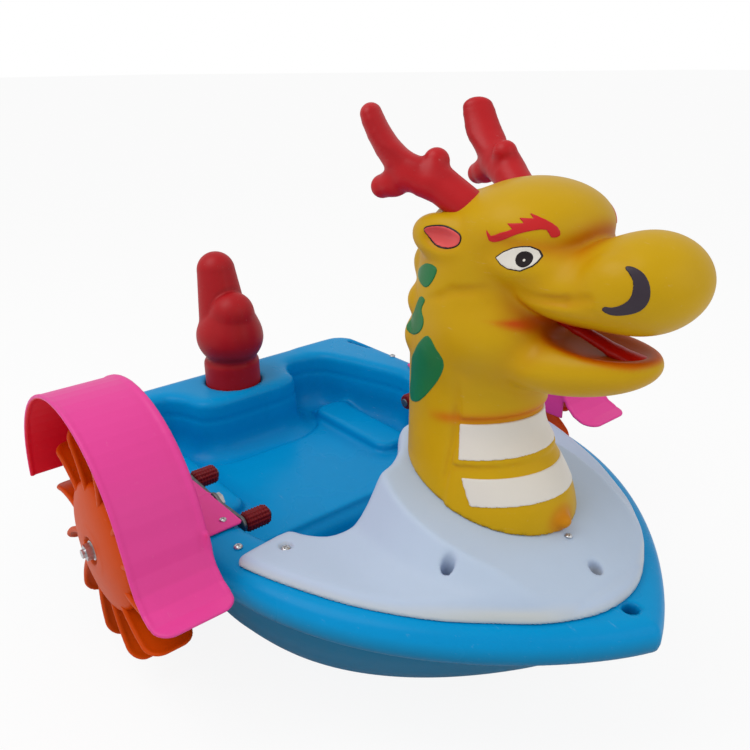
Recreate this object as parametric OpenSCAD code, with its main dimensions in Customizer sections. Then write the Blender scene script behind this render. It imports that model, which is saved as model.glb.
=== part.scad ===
// Child's hand-cranked paddle boat with a dragon figurehead.
// X points to the bow, Y to port, Z up. The origin is under the middle of the boat, at the keel.

/* [Hull] */
// Length of the hull, transom to bow tip
hull_l = 1320; // [1310:1:1330]
// Beam of the hull over the gunwales
hull_w = 872; // [868:1:876]
// Height of the deck above the flat of the keel
deck_h = 280; // [280:1:284]
// Depth of the gunwale band round the deck edge
band_h = 58; // [50:1:64]
// Height of the seat pan above the keel
seat_h = 130; // [122:1:132]
// Height of the footwell floor above the keel
footwell_h = 65; // [50:1:80]
// Radius of the rope hole through the bow
tow_hole_r = 12; // [10:0.5:13]

/* [Paddle drive] */
// Distance of the paddle axle behind the middle of the boat
axle_back = 88; // [86:1:90]
// Height of the paddle axle above the keel
axle_h = 262; // [260:0.5:262]
// Radius of the axle
axle_r = 8; // [7:0.5:9]
// Radius over the paddle blades
wheel_r = 220; // [205:1:222]
// Number of blades on each wheel
blade_count = 12; // [9:1:12]
// Distance from the axle to each hand grip
crank_r = 98; // [85:1:98]

/* [Fenders] */
// Half of the overall width, over the fenders
overall_half_w = 575; // [573:1:580]
// Radius of the arch over the wheel
arch_r = 229; // [228:0.5:232]
// Thickness of the moulded fender
fender_t = 5; // [4:0.5:5]

/* [Figurehead] */
// Height of the rear of the bow cover's crown
crown_h = 410; // [408:1:412]

/* [Hidden] */

half_l = hull_l / 2;
half_w = hull_w / 2;
skin = 8;                       // thickness of the moulded walls
fit = 0.05;                     // radial running clearance of a shaft in its bearing
gap = 0.4;                      // clearance between parts that only lie next to each other

// Half outlines of the deck and of the cockpit, from the bow round to the stern, point for point
bow_steps = 14;
side_mid = -50;                 // where the straight sides begin
stern_corner_r = 70;
cockpit_front = 345;
cockpit_w = 330;                // half width of the cockpit beside the cranks

function bow_width(s, p, q) = pow(max(0, 1 - pow(s, p)), q);
function bow_half(x, l, w, p, q) =
    [for (i = [0 : bow_steps - 1]) let (s = sin(90 - 90 * i / bow_steps)) [x + l * s, w * bow_width(s, p, q)]];
deck_half = concat(bow_half(side_mid, half_l - side_mid, half_w, 2.5, 0.85),
    [for (x = [-190, -380]) [x, half_w]],
    [for (a = [90, 112, 135, 158, 180])
        [-half_l + stern_corner_r * (1 + cos(a)), half_w - stern_corner_r * (1 - sin(a))]],
    [for (y = [290, 200, 160, 130, 90, 45, 0]) [-half_l, y]]);
cockpit_half = concat(bow_half(-20, cockpit_front + 20, cockpit_w, 2.3, 0.62),
    [[-200, cockpit_w], [-300, 356], [-410, 330], [-500, 300], [-545, 280], [-566, 255], [-577, 228], [-579, 200],
        [-570, 176], [-535, 152], [-485, 134], [-463, 95], [-460, 45], [-460, 0]]);

function closed(half) = concat(half, [for (i = [len(half) - 2 : -1 : 1]) [half[i].x, -half[i].y]]);
// One ring of the hull: an outline scaled ahead of and behind the middle, and in width, at height z
function ring(half, ahead, behind, wide, z) =
    [for (p = closed(half)) [p.x * (p.x > 0 ? ahead : behind), p.y * wide, z]];

// A closed skin through rings that all have the same number of points
module ring_skin(rings, first, last) {
    n = len(rings[0]);
    m = len(rings);
    polyhedron(
        points = concat([for (r = rings) each r], [first, last]),
        faces = concat(
            [for (j = [0 : m - 2]) for (i = [0 : n - 1]) [j * n + i, (j + 1) * n + (i + 1) % n, j * n + (i + 1) % n]],
            [for (j = [0 : m - 2]) for (i = [0 : n - 1]) [j * n + i, (j + 1) * n + i, (j + 1) * n + (i + 1) % n]],
            [for (i = [0 : n - 1]) [m * n, i, (i + 1) % n]],
            [for (i = [0 : n - 1]) [m * n + 1, (m - 1) * n + (i + 1) % n, (m - 1) * n + i]]));
}

band_z = deck_h - band_h;
hull_rings = [
    ring(deck_half, 0.52, 0.90, 0.60, 0), ring(deck_half, 0.56, 0.93, 0.66, 12),
    ring(deck_half, 0.66, 0.955, 0.755, 45), ring(deck_half, 0.755, 0.97, 0.85, 100),
    ring(deck_half, 0.82, 0.98, 0.92, 160), ring(deck_half, 0.865, 0.985, 0.955, band_z - 10),
    ring(deck_half, 0.985, 0.99, 0.985, band_z - 4), ring(deck_half, 0.997, 0.998, 0.997, band_z + 3),
    ring(deck_half, 1, 1, 1, deck_h - 20), ring(deck_half, 0.995, 0.997, 0.995, deck_h - 8),
    ring(deck_half, 0.982, 0.988, 0.984, deck_h - 2), ring(deck_half, 0.97, 0.98, 0.972, deck_h),
    ring(cockpit_half, 1.025, 1.012, 1.02, deck_h), ring(cockpit_half, 1.008, 1.004, 1.006, deck_h - 4),
    ring(cockpit_half, 1, 1, 1, deck_h - 14), ring(cockpit_half, 0.985, 0.975, 0.98, seat_h + 20),
    ring(cockpit_half, 0.965, 0.955, 0.96, seat_h + 7), ring(cockpit_half, 0.93, 0.92, 0.92, seat_h)];
// The closed air space between the outer skin and the cockpit
air_rings = [
    ring(deck_half, 0.50, 0.88, 0.58, skin), ring(deck_half, 0.63, 0.935, 0.73, 50),
    ring(deck_half, 0.735, 0.95, 0.828, 105), ring(deck_half, 0.80, 0.96, 0.895, 165),
    ring(deck_half, 0.835, 0.965, 0.93, deck_h - 14), ring(deck_half, 0.825, 0.955, 0.915, deck_h - skin),
    ring(cockpit_half, 1.06, 1.022, 1.045, deck_h - skin), ring(cockpit_half, 1.05, 1.016, 1.03, deck_h - 20),
    ring(cockpit_half, 1.015, 0.995, 1.01, seat_h + 10), ring(cockpit_half, 0.94, 0.93, 0.93, seat_h - skin)];

// Footwell ahead of the seat pan
footwell_rear = -50;
footwell_front = 290;
footwell_half_w = 225;
function footwell_half(e) = [[footwell_front + e, 0], [footwell_front + e, 130 + e], [150 + e, footwell_half_w + e],
    [footwell_rear - e, footwell_half_w + e], [footwell_rear - e, 0]];
module footwell(grow) {
    ring_skin([ring(footwell_half(grow - 42), 1, 1, 1, footwell_h - grow),
        ring(footwell_half(grow - 28), 1, 1, 1, footwell_h - grow + 6),
        ring(footwell_half(grow), 1, 1, 1, seat_h + 1 + grow / 2)],
        [100, 0, footwell_h - grow], [100, 0, seat_h + 1 + grow / 2]);
}

// Channel across each gunwale that the axle and its bearing lie in
channel_w = 44;
channel_z = axle_h - 20;
module channel(side, grow) {
    translate([-axle_back - channel_w / 2 - grow, side > 0 ? cockpit_w - 40 : -half_w - 10, channel_z - grow])
        cube([channel_w + 2 * grow, half_w - cockpit_w + 50, deck_h - channel_z + 20 + grow]);
}

// Recessed groove in each stern corner of the deck
groove_l = 90;
groove_w = 14;
module deck_groove(side, grow) {
    translate([-580, side * 402, deck_h - 18 - grow]) rotate([0, 0, side * 8]) linear_extrude(40 + grow) {
        circle(r = groove_w / 2 + grow, $fn = 24);
        translate([groove_l - groove_w, 0]) circle(r = groove_w / 2 + grow, $fn = 24);
        translate([0, -groove_w / 2 - grow]) square([groove_l - groove_w, groove_w + 2 * grow]);
    }
}

tow_x = 607;
socket_x = -560;
socket_r = 71;
socket_depth = 90;
plug_z = 75;
plug_r = 16;
plug_x = -half_l * 0.963;

// Moulded arm ledges beside the seat pan
module side_ledges() {
    for (side = [-1, 1]) hull() {
        translate([-500, side * 235 - 35, seat_h - 2]) cube([310, 70, 2]);
        translate([-490, side * 235 - 28, seat_h + 26]) cube([290, 56, 2]);
    }
}

// Where each screw stands on the deck: X, Y
cover_screw_spots = [[163, 320], [163, -320], [411, 192], [411, -192], [540, 0]];
rivet_spots = [[91, 369], [91, -369], [-408, 414], [-408, -414]];
fender_screw_spots = [[10, 352], [10, 416], [-180, 372], [-305, 415]];
screw_r = 3;
module deck_bores(spots, r, deep) {
    for (p = spots) translate([p.x, p.y, deck_h - deep]) cylinder(r = r, h = deep + 60, $fn = 24);
}

module hull_part() {
    color("deepskyblue") difference() {
        union() {
            ring_skin(hull_rings, [0, 0, 0], [60, 0, seat_h]);
            side_ledges();
        }
        footwell(0);
        difference() {
            ring_skin(air_rings, [0, 0, skin], [60, 0, seat_h - skin]);
            footwell(skin);
            translate([socket_x, 0, deck_h - socket_depth - skin])
                cylinder(r = socket_r + skin, h = socket_depth + skin, $fn = 64);
            for (side = [-1, 1]) {
                channel(side, skin);
                deck_groove(side, skin);
            }
        }
        translate([socket_x, 0, deck_h - socket_depth]) cylinder(r = socket_r, h = socket_depth + 10, $fn = 64);
        translate([tow_x, 0, 100]) cylinder(r = tow_hole_r, h = 250, $fn = 48);
        for (side = [-1, 1]) {
            channel(side, 0);
            deck_groove(side, 0);
            deck_bores([for (p = fender_screw_spots) [p.x, side * p.y]], screw_r + 0.1, 30);
        }
        deck_bores(cover_screw_spots, screw_r + 0.1, 24);
        deck_bores(rivet_spots, screw_r + 0.1, 30);
        translate([plug_x - 60, 0, plug_z]) rotate([0, 90, 0]) cylinder(r = plug_r, h = 110, $fn = 48);
        translate([plug_x - 60, 0, plug_z]) rotate([0, 90, 0]) cylinder(r = 32, h = 60, $fn = 48);
    }
}

// Drain plug in the transom, with a sealing ring under its head
module drain_plug() {
    color("black") translate([plug_x, 0, plug_z]) rotate([0, 90, 0]) difference() {
        union() {
            cylinder(r = plug_r - 0.2, h = 30, $fn = 48);
            translate([0, 0, -11]) cylinder(r = 26, h = 8, $fn = 48);
            translate([0, 0, -4]) cylinder(r = plug_r - 0.2, h = 5, $fn = 48);
        }
        translate([-22, -4, -12]) cube([44, 8, 5]);
    }
}
module drain_plug_seal() {
    color("dimgray") translate([plug_x, 0, plug_z]) rotate([0, 90, 0]) difference() {
        translate([0, 0, -2.8]) cylinder(r = 25, h = 2.6, $fn = 48);
        translate([0, 0, -4]) cylinder(r = plug_r, h = 8, $fn = 48);
    }
}

// White cover over the bow: crowned up to the neck, and cut away for both knees behind
cover_edge = 20;
cover_half = [[594, 0], [590, 40], [574, 85], [542, 137], [500, 184], [450, 236], [395, 280], [330, 321], [262, 353],
    [200, 378], [150, 394], [136, 395], [128, 386], [122, 340], [120, 288], [146, 272], [172, 254], [192, 236],
    [206, 212], [209, 186], [203, 150], [195, 119], [172, 82], [140, 52], [118, 26], [112, 0]];
function crown_profile(e) = [[0, deck_h], [335, deck_h], [335, deck_h + cover_edge + 3 - e],
    [285 - e, deck_h + 40 - e], [245 - e, crown_h - 50 - e], [216 - e, crown_h - 9 - e], [198 - e, crown_h - e],
    [0, crown_h - e]];
cover_t = 7;
neck_x = 310;
crown_slope = 0.19;             // the crown falls towards the bow, under the neck and then faster ahead of it
function crown_z(x) = 392 - crown_slope * (x - 250);
module crown(e) {
    translate([neck_x, 0, deck_h]) cylinder(r = 560, h = cover_edge - e, $fn = 72);
    intersection() {
        translate([neck_x, 0, 0]) scale([0.98, 0.8, 1]) rotate_extrude($fn = 72) polygon(crown_profile(e));
        translate([0, 500, 0]) rotate([90, 0, 0]) linear_extrude(1000) polygon([[-300, 200], [1000, 200],
            [1000, 279], [604, 279], [487, crown_z(487) - e], [-300, crown_z(-300) - e]]);
    }
}
module bow_cover() {
    color("white") difference() {
        intersection() {
            translate([0, 0, deck_h + gap]) linear_extrude(crown_h) polygon(closed(cover_half));
            crown(0);
        }
        difference() {
            intersection() {
                translate([neck_x, 0, deck_h - 10]) linear_extrude(crown_h) scale([0.955, 0.955])
                    translate([-neck_x, 0]) polygon(closed(cover_half));
                translate([0, 0, -1]) crown(cover_t);
            }
            for (p = cover_screw_spots) translate([p.x, p.y, deck_h - 20]) cylinder(r = 18, h = 60, $fn = 40);
        }
        deck_bores(cover_screw_spots, screw_r + 0.2, 2);
        for (p = cover_screw_spots) translate([p.x, p.y, deck_h + 12]) cylinder(r = 13, h = 100, $fn = 40);
        translate([neck_screw_x, 0, deck_h + 20]) cylinder(r = screw_r, h = 90, $fn = 24);
        translate([neck_screw_x, 0, neck_screw_z]) cylinder(r = 8, h = 30, $fn = 32);
    }
}

neck_screw_x = 487;
neck_screw_z = crown_z(neck_screw_x) - 3.6;

// A cross-head screw that points down, with its head's underside at z = 0
module screw(head_r, shank_r, shank_l) {
    difference() {
        union() {
            cylinder(r1 = head_r, r2 = head_r * 0.7, h = head_r * 0.55, $fn = 32);
            translate([0, 0, -shank_l]) cylinder(r = shank_r, h = shank_l + 1, $fn = 24);
        }
        for (a = [0, 90]) rotate([0, 0, a])
            translate([-head_r * 0.5, -head_r * 0.09, head_r * 0.3]) cube([head_r, head_r * 0.18, head_r]);
    }
}
module bow_cover_screws() {
    color("silver") for (p = cover_screw_spots) translate([p.x, p.y, deck_h + 12.2]) screw(9, screw_r, 26);
}
module neck_screw() {
    color("silver") translate([neck_screw_x, 0, neck_screw_z + 0.2]) screw(6, screw_r - 0.1, 20);
}
module deck_rivets() {
    color("silver") for (p = rivet_spots) translate([p.x, p.y, deck_h + 0.2]) screw(8, screw_r, 20);
}

// Dragon figurehead: neck and skull, snout and lower jaw
function ellipse_ring(c, a, b, z) = [for (t = [0 : 15 : 345]) [c + a * cos(t), b * sin(t), z]];
function side_ring(x, c, a, b) = [for (t = [0 : 15 : 345]) [x, b * sin(t), c - a * cos(t)]];
function tilted_ring(c, a, b, up) = [for (p = ellipse_ring(c, a, b, 0)) [p.x, p.y, crown_z(p.x) + up]];
neck_rings = [tilted_ring(312, 160, 120, 0.8), ellipse_ring(298, 146, 112, 430),
    ellipse_ring(276, 126, 100, 490), ellipse_ring(276, 124, 102, 560), ellipse_ring(298, 140, 116, 620),
    ellipse_ring(304, 136, 118, 680), ellipse_ring(308, 130, 114, 740), ellipse_ring(325, 136, 116, 800),
    ellipse_ring(342, 116, 96, 850), ellipse_ring(374, 74, 58, 882)];
snout_rings = [side_ring(300, 770, 92, 112), side_ring(390, 790, 96, 118), side_ring(450, 785, 90, 108),
    side_ring(490, 768, 62, 92), side_ring(545, 770, 64, 88), side_ring(595, 774, 63, 84),
    side_ring(622, 778, 46, 62), side_ring(637, 780, 18, 28)];
jaw_rings = [side_ring(300, 640, 52, 96), side_ring(420, 632, 50, 92), side_ring(500, 640, 44, 82),
    side_ring(555, 658, 32, 62), side_ring(592, 674, 12, 30)];
head_t = 5;
neck_inner = [tilted_ring(312, 155, 115, -10), ellipse_ring(298, 141, 107, 430),
    ellipse_ring(276, 121, 95, 490), ellipse_ring(276, 119, 97, 560), ellipse_ring(298, 135, 111, 620),
    ellipse_ring(304, 131, 113, 680), ellipse_ring(308, 125, 109, 740), ellipse_ring(325, 131, 111, 799),
    ellipse_ring(342, 110, 90, 846), ellipse_ring(374, 67, 51, 876)];
snout_inner = [side_ring(302, 770, 86, 106), side_ring(390, 790, 90, 112), side_ring(450, 785, 84, 102),
    side_ring(490, 768, 56, 86), side_ring(545, 770, 58, 82), side_ring(595, 774, 57, 78),
    side_ring(618, 778, 40, 56)];
jaw_inner = [side_ring(302, 640, 46, 90), side_ring(420, 632, 44, 86), side_ring(500, 640, 38, 76),
    side_ring(552, 657, 25, 55)];
module dragon_head() {
    color("gold") difference() {
        union() {
            ring_skin(neck_rings, [312, 0, crown_z(312) + 0.8], [382, 0, 891]);
            ring_skin(snout_rings, [300, 0, 770], [640, 0, 780]);
            ring_skin(jaw_rings, [300, 0, 640], [598, 0, 676]);
        }
        ring_skin(neck_inner, [312, 0, crown_z(312) - 10], [382, 0, 884]);
        ring_skin(snout_inner, [302, 0, 770], [624, 0, 780]);
        ring_skin(jaw_inner, [302, 0, 640], [567, 0, 662]);
        for (side = [-1, 1]) antler_root(side, 0.4);
    }
}

// Red antlers, each pushed into a socket in the crown of the head
function unit(v) = v / norm(v);
function round_ring(c, along, r) = let (u = unit(cross(along, [0, 1, 0])), v = cross(unit(along), u))
    [for (t = [0 : 20 : 340]) c + r * (cos(t) * u + sin(t) * v)];
// A round branch through points P with radii R, with a blunt rounded tip
module branch(P, R) {
    n = len(P) - 1;
    tip = unit(P[n] - P[n - 1]);
    rings = concat(
        [for (i = [0 : n]) round_ring(P[i], i == 0 ? P[1] - P[0] : i == n ? tip : P[i + 1] - P[i - 1], R[i])],
        [for (a = [30, 60]) round_ring(P[n] + tip * R[n] * sin(a), tip, R[n] * cos(a))]);
    ring_skin(rings, P[0], P[n] + tip * R[n]);
}
function sided(p, side) = [p.x, side * p.y, p.z];
antler_root_p = [[324.5, 52.6, 823.1], [262, 76, 868], [214, 95, 890]];
module antler_root(side, grow) {
    branch([for (p = antler_root_p) sided(p, side)], [26.8 + grow, 27.8 + grow, 27 + grow]);
}
module antler(side) {
    color("crimson") {
        branch([for (p = [[324.5, 52.6, 823.1], [262, 76, 868], [214, 95, 890], [176, 108, 920], [146, 117, 950]])
            sided(p, side)], [26.8, 27.8, 27, 24, 21]);
        branch([for (p = [[246, 83, 878], [246, 75, 898], [246, 70, 906]]) sided(p, side)], [23, 19, 18]);
        branch([for (p = [[222, 94, 884], [186, 102, 870], [164, 107, 864]]) sided(p, side)], [24, 20, 18]);
    }
}

// Red flame tail, standing in the socket behind the cockpit
tail_rings = [[0, 70.6, 70.6, deck_h - socket_depth + 0.4], [0, 70.6, 70.6, deck_h + 20], [0, 70, 70, 330],
    [0, 76, 74, 352], [0, 86, 81, 385], [0, 84, 78, 420], [-7, 80, 70, 451], [-21, 70, 56, 490], [-26, 64, 52, 517],
    [-41, 55, 46, 560], [-38, 38, 34, 590], [-34, 14, 12, 608]];
module tail() {
    color("crimson") translate([socket_x, 0, 0])
        ring_skin([for (r = tail_rings) [for (t = [0 : 15 : 345]) [r[0] + r[1] * cos(t), r[2] * sin(t), r[3]]]],
            [0, 0, deck_h - socket_depth + 0.4], [-32, 0, 611]);
}

// Pink fender: arch and inner wall over the wheel, and a foot plate screwed to the deck
arch_x = -92;
arch_z = 318;
fender_in = 443;                // inner face of the wall beside the wheel
plate_in = 325;                 // inner edge of the foot plate
module arch_section() {
    translate([arch_x, arch_z]) intersection() {
        difference() {
            circle(r = arch_r, $fn = 180);
            circle(r = arch_r - fender_t, $fn = 180);
        }
        polygon([[0, 0], [-400, 0], [-400, 400], [400, 400], [400, 90]]);
    }
    polygon([[131, 365], [139, 340], [152, 314], [172, 296], [198, 286], [229, 284],
        [229, 289], [200, 291], [176, 300], [157, 317], [144, 342], [136.5, 365]]);
}
module wall_section() {
    intersection() {
        union() {
            translate([arch_x, arch_z]) circle(r = arch_r - 1, $fn = 180);
            translate([arch_x, arch_z - 60]) square([232, 110]);
        }
        translate([-318, deck_h + gap]) square([466, 400]);
    }
}
module fender(side) {
    color("hotpink") difference() {
        union() {
            translate([0, side > 0 ? overall_half_w : -fender_in, 0]) rotate([90, 0, 0])
                linear_extrude(overall_half_w - fender_in) arch_section();
            translate([0, side > 0 ? fender_in + fender_t : -fender_in, 0]) rotate([90, 0, 0])
                linear_extrude(fender_t) wall_section();
            translate([0, 0, deck_h + gap]) linear_extrude(fender_t) polygon([for (p = [[36, plate_in + 6],
                [30, plate_in], [-190, plate_in], [-330, 398], [-330, fender_in + 2], [36, fender_in + 2]])
                [p.x, side * p.y]]);
            intersection() {
                translate([-axle_back, side * 352, deck_h + 2]) rotate([side > 0 ? -90 : 90, 0, 0])
                    cylinder(r1 = 2, r2 = 46, h = fender_in - 350, $fn = 48);
                translate([-300, side > 0 ? 300 : -fender_in - 4, deck_h + gap]) cube([500, 150, 200]);
            }
        }
        deck_bores([for (p = fender_screw_spots) [p.x, side * p.y]], screw_r + 0.2, 2);
    }
}
module fender_screws(side) {
    color("silver") for (p = fender_screw_spots)
        translate([p.x, side * p.y, deck_h + gap + fender_t + 0.2]) screw(7, screw_r, 30);
}

// Puts a part that is drawn outward along Z, from the middle of the boat, on the axle of one side
module on_axle(side) {
    translate([-axle_back, 0, axle_h]) rotate([side > 0 ? -90 : 90, 0, 0]) children();
}
// The same, on one of the two crank pins
module on_pin(side, ahead) {
    translate([ahead * crank_r, 0, 0]) on_axle(side) children();
}
module shaft_ring(at, r, long, bore) {
    translate([0, 0, at]) difference() {
        cylinder(r = r, h = long, $fn = 48);
        translate([0, 0, -1]) cylinder(r = bore, h = long + 2, $fn = 48);
    }
}
module hex_nut(at, across, long, bore) {
    translate([0, 0, at]) difference() {
        cylinder(r = across / sqrt(3), h = long, $fn = 6);
        translate([0, 0, -1]) cylinder(r = bore, h = long + 2, $fn = 48);
    }
}

bearing_in = 324;               // where each part begins, measured outward from the middle of the boat
arm_in = 311;
arm_t = 8;
grip_in = 262;
wheel_in = 454;
axle_out = overall_half_w - 3;

// Bearing block in its channel, with a flange at both ends
module bearing(side) {
    color("gainsboro") difference() {
        union() {
            translate([-axle_back - channel_w / 2 + gap, side > 0 ? cockpit_w + 14 : -half_w + 8, channel_z + gap])
                cube([channel_w - 2 * gap, half_w - cockpit_w - 22, 2 * (axle_h - channel_z) - 2 * gap - 2]);
            on_axle(side) translate([0, 0, bearing_in]) cylinder(r = 15, h = half_w - bearing_in + 10, $fn = 48);
        }
        on_axle(side) cylinder(r = axle_r + fit, h = 600, $fn = 48);
    }
}
module axle(side) {
    color("silver") on_axle(side) translate([0, 0, 300]) cylinder(r = axle_r, h = axle_out - 300, $fn = 48);
}

// Paddle wheel: hub drum, outer dome and curved blades
function blade_side(off) = [for (t = [0 : 0.2 : 1]) let (r = 34 + (wheel_r - 36) * t, a = 16 * t * t)
    [r * cos(a) - off * sin(a * 2), r * sin(a) + off * cos(a * 2)]];
module paddle_wheel(side) {
    outer = overall_half_w - 18;
    color("darkorange") difference() {
        union() {
            on_axle(side) {
                translate([0, 0, wheel_in]) cylinder(r = 38, h = outer - wheel_in - 2, $fn = 60);
                translate([0, 0, outer - 26]) cylinder(r1 = 142, r2 = 60, h = 26, $fn = 90);
                translate([0, 0, outer - 32]) cylinder(r = 142, h = 6.5, $fn = 90);
                translate([0, 0, wheel_in + 1]) linear_extrude(outer - wheel_in - 14)
                    for (i = [0 : blade_count - 1]) rotate([0, 0, side * i * 360 / blade_count + 8])
                        polygon(concat(blade_side(-3.5), [for (i = [5 : -1 : 0]) blade_side(3.5)[i]]));
            }
        }
        on_axle(side) {
            cylinder(r = axle_r + fit, h = 600, $fn = 48);
            translate([0, 0, outer - 6]) cylinder(r = 24, h = 20, $fn = 48);
        }
    }
}
module hub_washer(side) {
    color("silver") on_axle(side) shaft_ring(overall_half_w - 23.8, 18, 3, axle_r + fit);
}
module hub_nut(side) {
    color("silver") on_axle(side) hex_nut(overall_half_w - 20.6, 26, 12, axle_r + fit);
}
module thrust_washer(side) {
    color("black") on_axle(side) shaft_ring(arm_in + arm_t + 0.4, 14, 4, axle_r + fit);
}
module crank_nut(side) {
    color("silver") on_axle(side) hex_nut(302, 26, 8.6, axle_r + fit);
}

// Double-ended crank with one pin at each end, headed to keep its grip on
pin_r = 6;
module crank_arm(side) {
    color("dimgray") {
        on_axle(side) translate([0, 0, arm_in]) linear_extrude(arm_t) difference() {
            union() {
                circle(r = 18, $fn = 48);
                for (x = [-crank_r, crank_r]) translate([x, 0]) circle(r = 13, $fn = 48);
                translate([-crank_r, -10]) square([2 * crank_r, 20]);
            }
            circle(r = axle_r + fit, $fn = 48);
        }
        for (ahead = [-1, 1]) on_pin(side, ahead) {
            translate([0, 0, grip_in - 5]) cylinder(r = pin_r, h = arm_in - grip_in + 6, $fn = 48);
            translate([0, 0, grip_in - 5]) cylinder(r = 10, h = 4.6, $fn = 48);
        }
    }
}

// Ribbed hand grip, free to turn on its pin
module grip(side, ahead) {
    r = [20, 17, 20, 17, 20, 17, 20, 17];
    long = arm_in - grip_in - 0.4;
    color("darkred") on_pin(side, ahead) translate([0, 0, grip_in]) rotate_extrude($fn = 60)
        polygon(concat([[pin_r + fit, long], [pin_r + fit, 0], [15, 0], [18, 3]],
            [for (i = [0 : 7]) [r[i], 6 + i * (long - 12) / 7]], [[17.5, long - 2], [15, long]]));
}

hull_part();  // hull
drain_plug();
drain_plug_seal();
bow_cover();
bow_cover_screws();
neck_screw();
dragon_head();
antler(-1);  // antler_right
antler(1);  // antler_left
tail();
deck_rivets();
fender(-1);  // fender_right
fender(1);  // fender_left
fender_screws(-1);  // fender_screws_right
fender_screws(1);  // fender_screws_left
bearing(-1);  // bearing_right
bearing(1);  // bearing_left
axle(-1);  // axle_right
axle(1);  // axle_left
paddle_wheel(-1);  // paddle_wheel_right
paddle_wheel(1);  // paddle_wheel_left
hub_washer(-1);  // hub_washer_right
hub_washer(1);  // hub_washer_left
hub_nut(-1);  // hub_nut_right
hub_nut(1);  // hub_nut_left
crank_arm(-1);  // crank_arm_right
crank_arm(1);  // crank_arm_left
thrust_washer(-1);  // thrust_washer_right
thrust_washer(1);  // thrust_washer_left
crank_nut(-1);  // crank_nut_right
crank_nut(1);  // crank_nut_left
grip(-1, 1);  // grip_front_right
grip(-1, -1);  // grip_rear_right
grip(1, 1);  // grip_front_left
grip(1, -1);  // grip_rear_left
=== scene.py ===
import math

import bpy
import numpy as np
from mathutils import Matrix, Vector


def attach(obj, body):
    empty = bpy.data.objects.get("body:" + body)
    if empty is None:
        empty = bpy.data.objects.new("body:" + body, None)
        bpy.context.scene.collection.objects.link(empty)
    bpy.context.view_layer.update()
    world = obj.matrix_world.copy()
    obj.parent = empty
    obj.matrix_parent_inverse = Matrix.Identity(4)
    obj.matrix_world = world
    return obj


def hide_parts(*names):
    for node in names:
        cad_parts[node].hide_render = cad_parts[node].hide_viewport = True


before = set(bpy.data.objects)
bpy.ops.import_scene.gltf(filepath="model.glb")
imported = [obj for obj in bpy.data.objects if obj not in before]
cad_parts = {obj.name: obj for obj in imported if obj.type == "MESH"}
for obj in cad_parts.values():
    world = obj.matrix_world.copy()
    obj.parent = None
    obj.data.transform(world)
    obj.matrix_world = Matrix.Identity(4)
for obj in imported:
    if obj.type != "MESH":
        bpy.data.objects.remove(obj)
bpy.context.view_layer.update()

# All shapes are drawn in millimetres: X to the bow, Y to port, Z up from the keel.
MM = 0.001
DECK_Z = 280
SIDES = {"right": -1, "left": 1}
COARSE = 1.0


# ------------ camera
def set_camera():
    yaw, pitch, roll = (math.radians(a) for a in (140.24, -22.67, -0.51))
    ahead = Vector((math.cos(pitch) * math.cos(yaw), math.cos(pitch) * math.sin(yaw), math.sin(pitch)))
    right = ahead.cross(Vector((0, 0, 1))).normalized()
    up = right.cross(ahead)
    turned_right = right * math.cos(roll) + up * math.sin(roll)
    turned_up = up * math.cos(roll) - right * math.sin(roll)
    place = Matrix((turned_right, turned_up, -ahead)).transposed().to_4x4()
    place.translation = Vector((1.065, -0.875, 1.041))
    data = bpy.data.cameras.new("camera")
    data.lens, data.sensor_width = 36.4, 36
    data.clip_start, data.clip_end = 0.05, 60
    camera = bpy.data.objects.new("camera", data)
    bpy.context.scene.collection.objects.link(camera)
    camera.matrix_world = place
    bpy.context.scene.camera = camera


set_camera()


# ------------ solid forms
# A form is a function of x, y, z that is negative inside the plastic, and about the distance to its skin.
def ellipsoid(x, y, z, at, radii):
    p, q, r = (x - at[0]) / radii[0], (y - at[1]) / radii[1], (z - at[2]) / radii[2]
    near = np.sqrt(p * p + q * q + r * r)
    steep = np.sqrt((p / radii[0]) ** 2 + (q / radii[1]) ** 2 + (r / radii[2]) ** 2)
    return near * (near - 1) / np.maximum(steep, 1e-9)


def rod(x, y, z, a, b, ra, rb):
    """A round-ended rod from a to b, of radius ra at a and rb at b."""
    span = [b[k] - a[k] for k in range(3)]
    along = (x - a[0]) * span[0] + (y - a[1]) * span[1] + (z - a[2]) * span[2]
    t = np.clip(along / sum(s * s for s in span), 0, 1)
    off = (x - a[0] - t * span[0]) ** 2 + (y - a[1] - t * span[1]) ** 2 + (z - a[2] - t * span[2]) ** 2
    return np.sqrt(off) - (ra + t * (rb - ra))


def join(a, b, k):
    """Both forms, with a fillet about k wide where they meet."""
    h = np.maximum(k - np.abs(a - b), 0) / k
    return np.minimum(a, b) - h * h * k / 4


def keep(a, b, k):
    """What both forms hold, with the edge rounded over k."""
    return -join(-a, -b, k)


def cut(a, b, k):
    """The first form without the second, with the edge rounded over k."""
    return -join(-a, b, k)


def branch(x, y, z, points, radii, k):
    """A limb through points, with a radius at each."""
    form = None
    for i in range(len(points) - 1):
        part = rod(x, y, z, points[i], points[i + 1], radii[i], radii[i + 1])
        form = part if form is None else join(form, part, k)
    return form


def to_line(u, v, points):
    """Distance in a plane to a line through points."""
    best = None
    for (u0, v0), (u1, v1) in zip(points[:-1], points[1:]):
        du, dv = u1 - u0, v1 - v0
        t = np.clip(((u - u0) * du + (v - v0) * dv) / (du * du + dv * dv), 0, 1)
        d = (u - u0 - t * du) ** 2 + (v - v0 - t * dv) ** 2
        best = d if best is None else np.minimum(best, d)
    return np.sqrt(best)


def flat_shape(u, v, points):
    """Distance in a plane to a closed outline, negative inside."""
    inside = False
    for (u0, v0), (u1, v1) in zip(points, points[1:] + points[:1]):
        crosses = (v0 > v) != (v1 > v)
        slope = (u1 - u0) / (v1 - v0) if v1 != v0 else 0.0
        inside = inside ^ (crosses & (u < u0 + (v - v0) * slope))
    return np.where(inside, -1, 1) * to_line(u, v, points + points[:1])


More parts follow.
